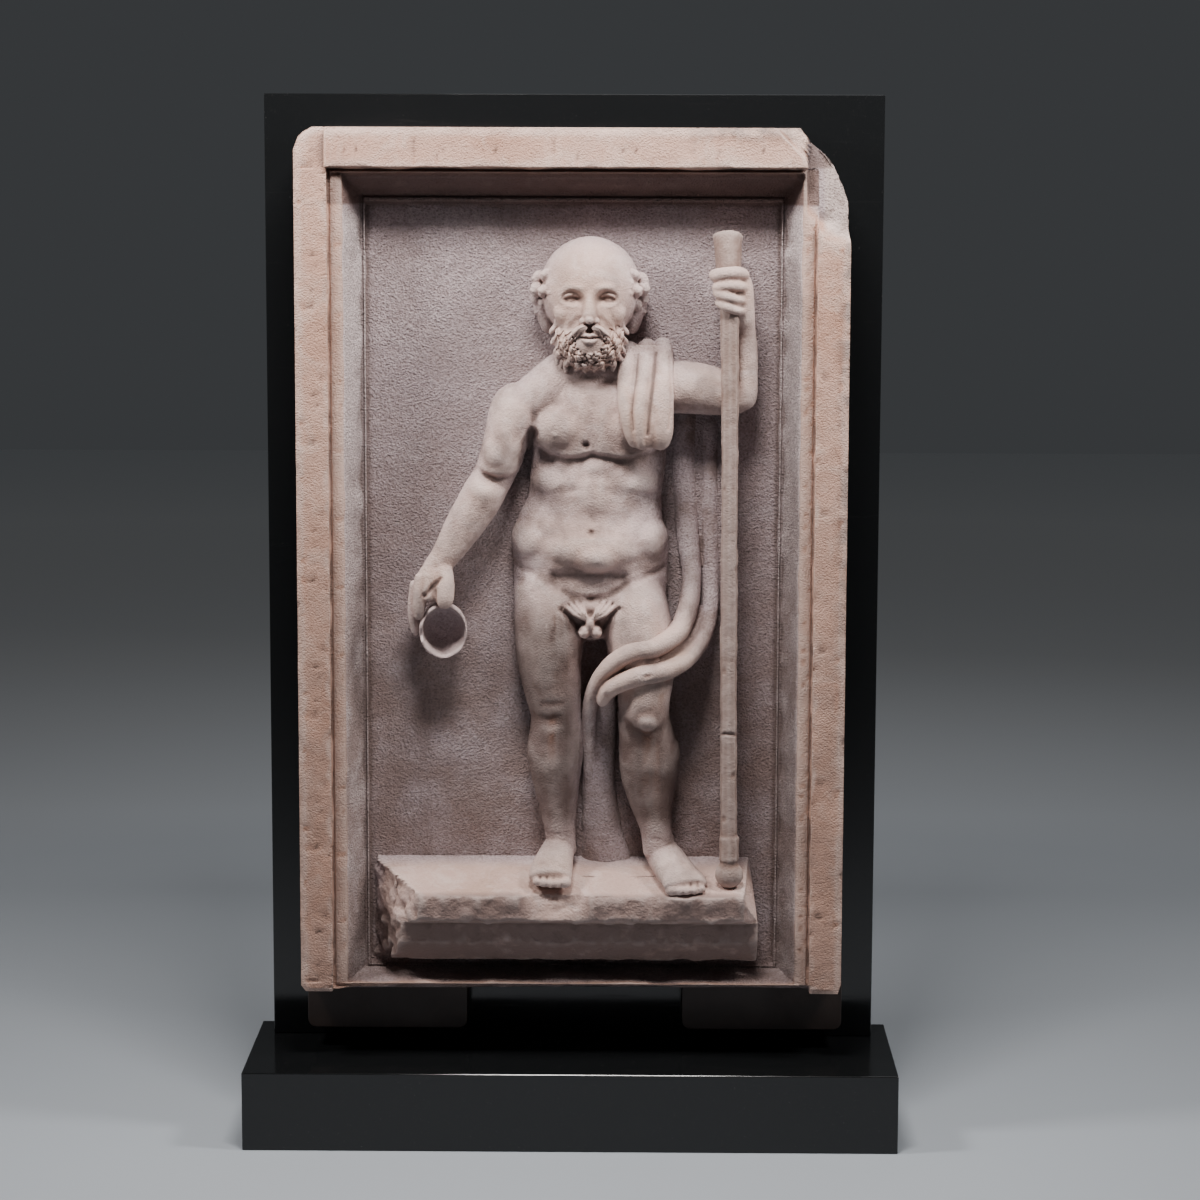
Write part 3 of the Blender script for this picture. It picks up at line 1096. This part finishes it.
def ramp(tree, value, low, high, start=0.0, end=1.0):
    made = node(tree, "ShaderNodeMapRange")
    tree.links.new(value, made.inputs["Value"])
    for label, number in (("From Min", low), ("From Max", high), ("To Min", start), ("To Max", end)):
        made.inputs[label].default_value = number
    return made.outputs["Result"]


def maths(tree, kind, a, b):
    made = node(tree, "ShaderNodeMath", operation=kind)
    for socket, value in zip(made.inputs, (a, b)):
        if isinstance(value, (int, float)):
            socket.default_value = value
        else:
            tree.links.new(value, socket)
    return made.outputs[0]


def times(tree, *values):
    """The product of two or more values or sockets."""
    made = values[0]
    for value in values[1:]:
        made = maths(tree, "MULTIPLY", made, value)
    return made


def plus(tree, a, b):
    return maths(tree, "ADD", a, b)


def either(tree, a, b):
    return maths(tree, "MAXIMUM", a, b)


def blend_colour(tree, share, a, b):
    made = node(tree, "ShaderNodeMix", data_type="RGBA", blend_type="MIX")
    for socket, value in ((made.inputs["Factor"], share), (made.inputs[6], a), (made.inputs[7], b)):
        if isinstance(value, (int, float, tuple)):
            socket.default_value = value
        else:
            tree.links.new(value, socket)
    return made.outputs[2]


# %% Mottling group
tints = [("Base", (0.6, 0.5, 0.45, 1)), ("Stain", (0.4, 0.3, 0.25, 1)), ("Pale", (0.8, 0.75, 0.7, 1))]
tints = [(label, "NodeSocketColor", value) for label, value in tints]
shares = [(label, "NodeSocketFloat", 0.5) for label in ("Stain Share", "Pale Share")]
mottle, into, outof = new_group(
    "stone_mottling", tints + shares, [("Color", "NodeSocketColor"), ("Cloud", "NodeSocketFloat")])
spot = node(mottle, "ShaderNodeTexCoord").outputs["Object"]
clouds = ramp(mottle, noise(mottle, spot, 9, 6, 0.62, 0.6), 0.38, 0.68)
veins = ramp(mottle, noise(mottle, spot, 34, 5, 0.65, 1.2), 0.50, 0.74)
specks = ramp(mottle, noise(mottle, spot, 420, 3, 0.6), 0.56, 0.72)
colour = blend_colour(mottle, times(mottle, clouds, into["Stain Share"]), into["Base"], into["Stain"])
colour = blend_colour(mottle, times(mottle, veins, into["Pale Share"]), colour, into["Pale"])
colour = blend_colour(mottle, times(mottle, specks, 0.22), colour, into["Stain"])
mottle.links.new(colour, outof["Color"])
mottle.links.new(clouds, outof["Cloud"])

# %% Chisel pits group
pecks, into, outof = new_group(
    "chisel_pits", [("Size", "NodeSocketFloat", 300.0)], [("Height", "NodeSocketFloat"), ("Pit", "NodeSocketFloat")])
spot = node(pecks, "ShaderNodeTexCoord").outputs["Object"]
turn = node(pecks, "ShaderNodeMapping")
turn.inputs["Rotation"].default_value = (0, math.radians(35), 0)
turn.inputs["Scale"].default_value = (0.9, 1.0, 1.05)
pecks.links.new(spot, turn.inputs["Vector"])
strokes = node(pecks, "ShaderNodeTexNoise")
strokes.inputs["Detail"].default_value = 3.0
strokes.inputs["Roughness"].default_value = 0.68
pecks.links.new(turn.outputs["Vector"], strokes.inputs["Vector"])
pecks.links.new(into["Size"], strokes.inputs["Scale"])
points = node(pecks, "ShaderNodeTexVoronoi")
pecks.links.new(turn.outputs["Vector"], points.inputs["Vector"])
pecks.links.new(into["Size"], points.inputs["Scale"])
stroke = ramp(pecks, strokes.outputs["Fac"], 0.38, 0.62)
point = ramp(pecks, points.outputs["Distance"], 0.10, 0.62)
grit = noise(pecks, spot, 1500, 2, 0.6)
patchy = ramp(pecks, noise(pecks, spot, 26, 3, 0.6), 0.35, 0.62, 0.55, 1.0)
deep = times(pecks, times(pecks, plus(pecks, stroke, point), 0.5), patchy)
height = plus(pecks, deep, times(pecks, grit, 0.25))
pecks.links.new(height, outof["Height"])
pecks.links.new(maths(pecks, "SUBTRACT", 1.0, deep), outof["Pit"])

# %% Marble finishes


def principled(name):
    material = bpy.data.materials.new(name)
    material.use_nodes = True
    shader = material.node_tree.nodes["Principled BSDF"]
    return material, material.node_tree, shader


def placed(tree, group, **values):
    made = node(tree, "ShaderNodeGroup")
    made.node_tree = group
    for label, value in values.items():
        made.inputs[label.replace("_", " ")].default_value = value
    return made


def bumped(tree, shader, height, strength, distance):
    bump = node(tree, "ShaderNodeBump")
    bump.inputs["Strength"].default_value = strength
    bump.inputs["Distance"].default_value = distance
    tree.links.new(height, bump.inputs["Height"])
    tree.links.new(bump.outputs["Normal"], shader.inputs["Normal"])


def stone(base, stain, pale, stain_share, pale_share):
    """What the mottling group is given for one kind of stone."""
    return dict(Base=base, Stain=stain, Pale=pale, Stain_Share=stain_share, Pale_Share=pale_share)


WARM = stone((0.57, 0.355, 0.28, 1), (0.40, 0.205, 0.135, 1), (0.70, 0.55, 0.49, 1), 0.75, 0.4)
COOL = stone((0.62, 0.505, 0.53, 1), (0.47, 0.36, 0.35, 1), (0.68, 0.59, 0.61, 1), 0.6, 0.5)
SKIN = stone((0.60, 0.425, 0.385, 1), (0.41, 0.265, 0.205, 1), (0.72, 0.60, 0.58, 1), 0.9, 0.5)
STAFF = stone((0.25, 0.175, 0.155, 1), (0.20, 0.12, 0.09, 1), (0.45, 0.35, 0.32, 1), 0.75, 0.4)
DIRT = (0.11, 0.06, 0.045, 1)
IN_PITS = (0.15, 0.10, 0.09, 1)
GROUND_PECKS = 500.0
CREASE = (0.12, 0.075, 0.062, 1)
RUBBED = (0.78, 0.66, 0.62, 1)


def marble(name, front, cool_from, cool_to, pit_size, front_depth, ground_depth, stain=None):
    """Marble with its own finish in front, which turns into the pecked ground's finish further back."""
    material, tree, shader = principled(name)
    split = node(tree, "ShaderNodeSeparateXYZ")
    tree.links.new(node(tree, "ShaderNodeTexCoord").outputs["Object"], split.inputs[0])
    near = placed(tree, mottle, **front)
    far = placed(tree, mottle, **COOL)
    fine_pits = placed(tree, pecks, Size=pit_size)
    pits = placed(tree, pecks, Size=GROUND_PECKS)
    back = ramp(tree, split.outputs["Y"], cool_from, cool_to)
    colour = blend_colour(tree, back, near.outputs["Color"], far.outputs["Color"])
    for share, tone in stain(tree, *split.outputs) if stain else ():
        colour = blend_colour(tree, share, colour, tone)
    sunk = node(tree, "ShaderNodeAttribute", attribute_name="hollow").outputs["Fac"]
    colour = blend_colour(tree, ramp(tree, sunk, 0.55, 0.93, 0, 0.76), colour, CREASE)
    colour = blend_colour(tree, ramp(tree, sunk, 0.42, 0.08, 0, 0.28), colour, RUBBED)
    hollow = times(tree, pits.outputs["Pit"], times(tree, back, 0.66))
    hollow = plus(tree, hollow, times(tree, fine_pits.outputs["Pit"], 0.16))
    colour = blend_colour(tree, hollow, colour, IN_PITS)
    tree.links.new(colour, shader.inputs["Base Color"])
    tree.links.new(ramp(tree, near.outputs["Cloud"], 0, 1, 0.62, 0.78), shader.inputs["Roughness"])
    shader.inputs["Specular IOR Level"].default_value = 0.35
    rough = times(tree, pits.outputs["Height"], ramp(tree, back, 0, 1, 0, ground_depth / 0.001))
    smooth = times(tree, fine_pits.outputs["Height"], front_depth / 0.001)
    bumped(tree, shader, plus(tree, rough, smooth), 1.0, 0.001)
    return material


# %% Stains
GRIME = (0.26, 0.18, 0.16, 1)
PATINA = (0.10, 0.064, 0.056, 1)
RUSTY_RUN = (0.15, 0.062, 0.036, 1)
BROWN_STONE = (0.20, 0.135, 0.12, 1)
PALE_SLOPE = (0.90, 0.77, 0.77, 1)
WORN_STONE = (0.28, 0.175, 0.14, 1)
FRESH_BREAK = (0.68, 0.55, 0.51, 1)
UNDER_CORNICE = (0.13, 0.065, 0.048, 1)
RUST = (0.36, 0.15, 0.08, 1)


def run_down(tree, x, z, middle, wide, low, high, strength):
    """A soft vertical streak of dirt between two heights, in metres."""
    away = maths(tree, "ABSOLUTE", maths(tree, "SUBTRACT", x, middle), 0)
    ends = times(tree, ramp(tree, z, low, low + 0.03), ramp(tree, z, high, high - 0.012))
    return times(tree, ramp(tree, away, wide, wide * 0.2), ends, strength)


def patches(tree, scale, low, high):
    place = node(tree, "ShaderNodeTexCoord").outputs["Object"]
    return ramp(tree, noise(tree, place, scale, 4, 0.6), low, high)


def within(tree, place, low, high, soft):
    """A mask that is 1 between two planes and fades over soft outside them, in metres."""
    return times(tree, ramp(tree, place, low - soft, low), ramp(tree, place, high + soft, high))


def leg_stains(tree, x, y, z):
    """Grime in patches, a brown patina down the legs, and rusty runs below the knees."""
    left = times(tree, within(tree, x, -0.050, -0.004, 0.012), within(tree, z, 0.268, 0.425, 0.030))
    right = times(tree, within(tree, x, 0.040, 0.090, 0.014), within(tree, z, 0.268, 0.345, 0.030))
    patina = times(tree, either(tree, left, right), ramp(tree, patches(tree, 45, 0.3, 0.6), 0, 1, 0.78, 1.0))
    runs = run_down(tree, x, z, 0.062, 0.006, 0.285, 0.352, 0.8)
    for run in ((-0.016, 0.005, 0.295, 0.360, 0.7), (0.069, 0.004, 0.270, 0.335, 0.6)):
        runs = plus(tree, runs, run_down(tree, x, z, *run))
    runs = times(tree, runs, ramp(tree, patches(tree, 90, 0.3, 0.6), 0, 1, 0.3, 1))
    grime = times(tree, patches(tree, 38, 0.47, 0.66), ramp(tree, z, 0.74, 0.68, 0, 0.85))
    return [(grime, GRIME), (patina, PATINA), (runs, RUSTY_RUN)]


def ledge_stains(tree, x, y, z):
    """Darker, browner stone on the ledge's broken front and on the bands under it."""
    lip = times(tree, ramp(tree, y, -0.047, -0.0525), 0.84)
    bands = times(tree, ramp(tree, z, 0.1875, 0.182), 0.88)
    return [(times(tree, either(tree, lip, bands), patches(tree, 40, 0.15, 0.45)), BROWN_STONE)]


def frame_stains(tree, x, y, z):
    """Pale slopes, brown under the cornice, black along the top right, and rust on the outer edges."""
    inside = within(tree, x, -0.196, 0.196, 0.0008)
    set_back = ramp(tree, y, -0.0385, -0.034)
    slopes = times(tree, within(tree, y, -0.0305, -0.0015, 0.002), within(tree, z, 0.14, 0.755, 0.01), inside)
    worn = times(tree, ramp(tree, z, 0.62, 0.36, 0, 0.8), patches(tree, 24, 0.30, 0.58))
    fresh = times(tree, ramp(tree, x, 0.199, 0.203), ramp(tree, z, 0.715, 0.745), set_back)
    under = times(tree, within(tree, z, 0.766, 0.7925, 0.002), set_back, inside)
    edges = either(tree, ramp(tree, x, -0.212, -0.2205), ramp(tree, x, 0.212, 0.2205))
    rust = times(tree, edges, patches(tree, 30, 0.35, 0.6), ramp(tree, y, -0.020, -0.032))
    high = times(tree, ramp(tree, z, 0.810, 0.824), ramp(tree, x, 0.07, 0.12))
    side = times(tree, ramp(tree, x, 0.208, 0.2195), ramp(tree, z, 0.30, 0.50), ramp(tree, y, -0.026, -0.036))
    low = ramp(tree, z, 0.150, 0.124, 0, 0.35)
    black = times(tree, either(tree, either(tree, high, side), low), patches(tree, 60, 0.46, 0.58))
    return [
        (times(tree, slopes, 0.85), PALE_SLOPE), (times(tree, worn, 0.8), WORN_STONE),
        (times(tree, fresh, 0.85), FRESH_BREAK), (times(tree, under, 0.85), UNDER_CORNICE),
        (times(tree, rust, 0.7), RUST), (times(tree, black, 0.8), DIRT),
    ]


# %% Marble materials
LEDGE = dict(SKIN, Stain_Share=0.8)
BOWL = dict(COOL, Base=(0.44, 0.34, 0.33, 1))
figure_marble = marble("figure_marble", SKIN, -0.040, -0.008, 620.0, 0.00042, 0.0008, leg_stains)
ledge_marble = marble("ledge_marble", LEDGE, -0.012, 0.002, 420.0, 0.0006, 0.0007, ledge_stains)
staff_marble = marble("staff_marble", STAFF, -0.030, -0.008, 520.0, 0.0004, 0.0008)
bowl_marble = marble("bowl_marble", BOWL, -0.024, -0.008, 520.0, 0.0004, 0.0008)
block_marble = marble("block_marble", WARM, -0.0335, -0.029, 640.0, 0.0009, 0.0021, frame_stains)

# %% Stand finishes
black, tree, shader = principled("polished_black")
spot = node(tree, "ShaderNodeTexCoord").outputs["Object"]
dust = ramp(tree, noise(tree, spot, 900, 2, 0.5), 0.70, 0.78)
haze = ramp(tree, noise(tree, spot, 6, 4, 0.6), 0.4, 0.7)
stretched = node(tree, "ShaderNodeMapping")
stretched.inputs["Scale"].default_value = (14, 14, 420)
stretched.inputs["Rotation"].default_value = (0, math.radians(12), 0)
tree.links.new(spot, stretched.inputs["Vector"])
scratch = ramp(tree, noise(tree, stretched.outputs["Vector"], 1.0, 2, 0.5), 0.68, 0.72)
tone = blend_colour(tree, times(tree, dust, 0.30), (0.006, 0.0065, 0.007, 1), (0.35, 0.34, 0.34, 1))
tree.links.new(tone, shader.inputs["Base Color"])
gloss = plus(tree, ramp(tree, haze, 0, 1, 0.10, 0.17), times(tree, scratch, 0.10))
tree.links.new(gloss, shader.inputs["Roughness"])

brown, tree, shader = principled("brown_block")
tone = placed(tree, mottle, Base=(0.030, 0.016, 0.012, 1), Stain=(0.016, 0.009, 0.007, 1),
    Pale=(0.06, 0.035, 0.026, 1), Stain_Share=0.7, Pale_Share=0.3)
tree.links.new(tone.outputs["Color"], shader.inputs["Base Color"])
tree.links.new(ramp(tree, tone.outputs["Cloud"], 0, 1, 0.45, 0.62), shader.inputs["Roughness"])

# %% Finishes on pieces
for piece, material, slot in [
    (relief_block, block_marble, "marble"), (relief_ledge, ledge_marble, "marble"),
    (figure_body, figure_marble, "marble"), (figure_head, figure_marble, "marble"),
    (figure_cloak, figure_marble, "marble"), (figure_staff, staff_marble, "marble"),
    (figure_bowl, bowl_marble, "marble"), (board, black, "black_gloss"), (base, black, "black_gloss"),
    (left_carrier, brown, "brown_block"), (right_carrier, brown, "brown_block"),
]:
    piece.data.materials.clear()
    piece.data.materials.append(material)
for piece in (relief_block, relief_ledge, figure_body, figure_head, figure_cloak, figure_staff, figure_bowl):
    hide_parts("relief_panel")

# %% [markdown]
# ## Floor and light
#
# A plain pale floor and small soft lights, as in the photograph: one hangs high in front, and two graze
# the relief from the sides. Grazing light shows the chisel's texture and models every form. A weak one
# behind shows the board's back. The floor pales with distance, so that no horizon shows.

# %% Floor and light
floor_bm = bmesh.new()
bmesh.ops.create_grid(floor_bm, x_segments=1, y_segments=1, size=6)
floor_mesh = bpy.data.meshes.new("floor")
floor_bm.to_mesh(floor_mesh)
floor_bm.free()
floor = bpy.data.objects.new("floor", floor_mesh)
bpy.context.scene.collection.objects.link(floor)
pale, tree, shader = principled("pale_floor")
away = node(tree, "ShaderNodeVectorMath", operation="LENGTH")
tree.links.new(node(tree, "ShaderNodeTexCoord").outputs["Object"], away.inputs[0])
spread = ramp(tree, away.outputs["Value"], 1.2, 4.5)
tree.links.new(blend_colour(tree, spread, (0.36, 0.39, 0.43, 1), (0.93, 0.94, 0.95, 1)), shader.inputs["Base Color"])
shader.inputs["Roughness"].default_value = 0.8
floor_mesh.materials.append(pale)

world = bpy.data.worlds.new("studio")
world.use_nodes = True
world.node_tree.nodes["Background"].inputs["Color"].default_value = (0.62, 0.66, 0.70, 1)
world.node_tree.nodes["Background"].inputs["Strength"].default_value = 0.07
bpy.context.scene.world = world


def soft_light(name, place, aim, size, power, colour):
    data = bpy.data.lights.new(name, "AREA")
    data.shape = "RECTANGLE"
    data.size, data.size_y = size
    data.energy = power
    data.color = colour
    lamp = bpy.data.objects.new(name, data)
    heading = Vector(aim) - Vector(place)
    lamp.matrix_world = Matrix.Translation(place) @ heading.to_track_quat("-Z", "Y").to_matrix().to_4x4()
    bpy.context.scene.collection.objects.link(lamp)


WARM_LIGHT = (1, 0.965, 0.93)
COLD_LIGHT = (0.97, 0.98, 1)
for lamp in [
    ("top", (0.0, -0.50, 1.34), (0, -0.02, 0.55), (0.30, 0.16), 13.5, WARM_LIGHT),
    ("left", (-0.70, -0.26, 1.10), (0, -0.02, 0.5), (0.20, 0.20), 9, WARM_LIGHT),
    ("right", (0.70, -0.26, 1.10), (0, -0.02, 0.5), (0.20, 0.20), 8, WARM_LIGHT),
    ("behind", (0.25, 1.7, 1.5), (0, 0.05, 0.5), (0.9, 0.9), 2.5, COLD_LIGHT),
]:
    soft_light(*lamp)
print("lights set")
